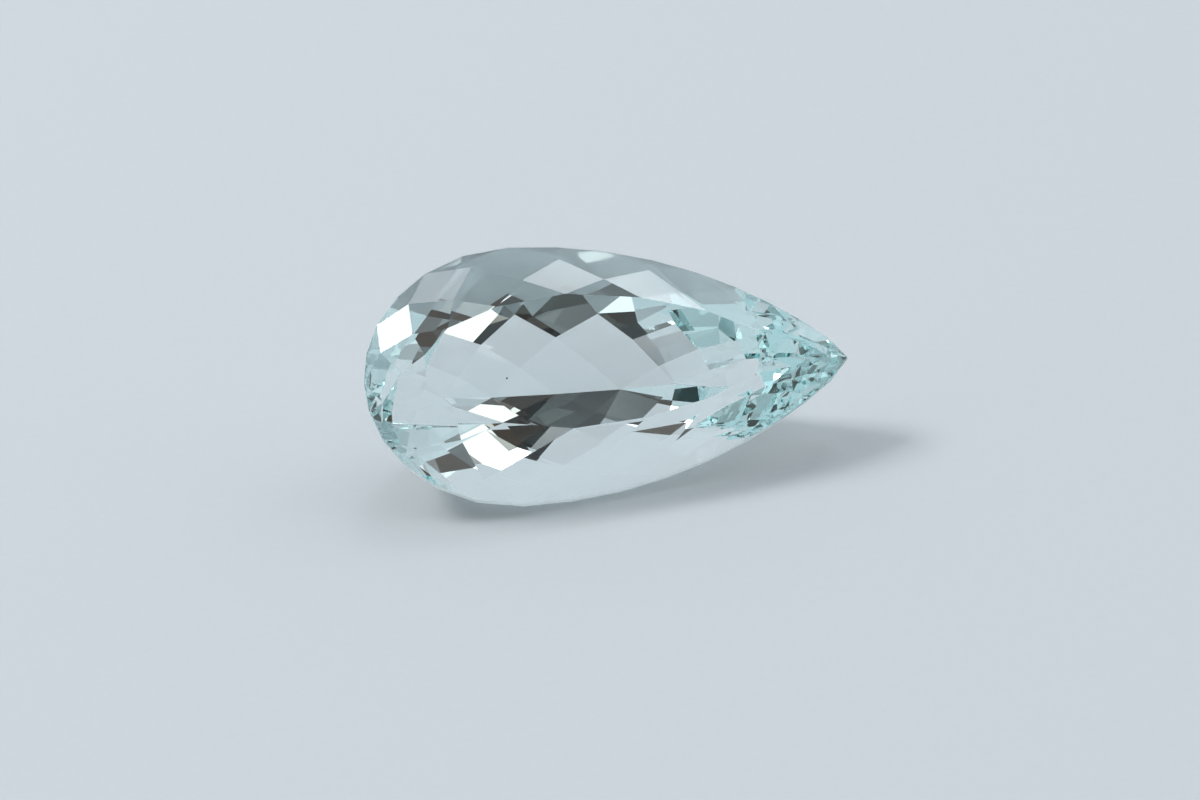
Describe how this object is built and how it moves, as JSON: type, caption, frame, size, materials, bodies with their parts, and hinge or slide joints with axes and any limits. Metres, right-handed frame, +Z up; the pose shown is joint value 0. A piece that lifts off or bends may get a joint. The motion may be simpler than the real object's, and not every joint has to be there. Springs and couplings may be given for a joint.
{
  "type": "faceted aquamarine gemstone",
  "caption": "Loose pear-cut aquamarine, a clear faceted stone with a flat table, stepped diamond facets and a keeled pavilion, lying tilted on one pavilion facet.",
  "frame": {"origin": "centre of the bounding box on the surface that the stone lies on", "axes": "+Z up from the surface, +X from the round head towards the point, -Y the side that the table leans towards"},
  "size_m": [0.02, 0.0086, 0.0089],
  "materials": {
    "clear_beryl": "polished flat facets, clear pale blue-green beryl with refractive index 1.577"
  },
  "bodies": {
    "root": {"pear_cut_aquamarine": "clear_beryl"}
  },
  "joints": []
}
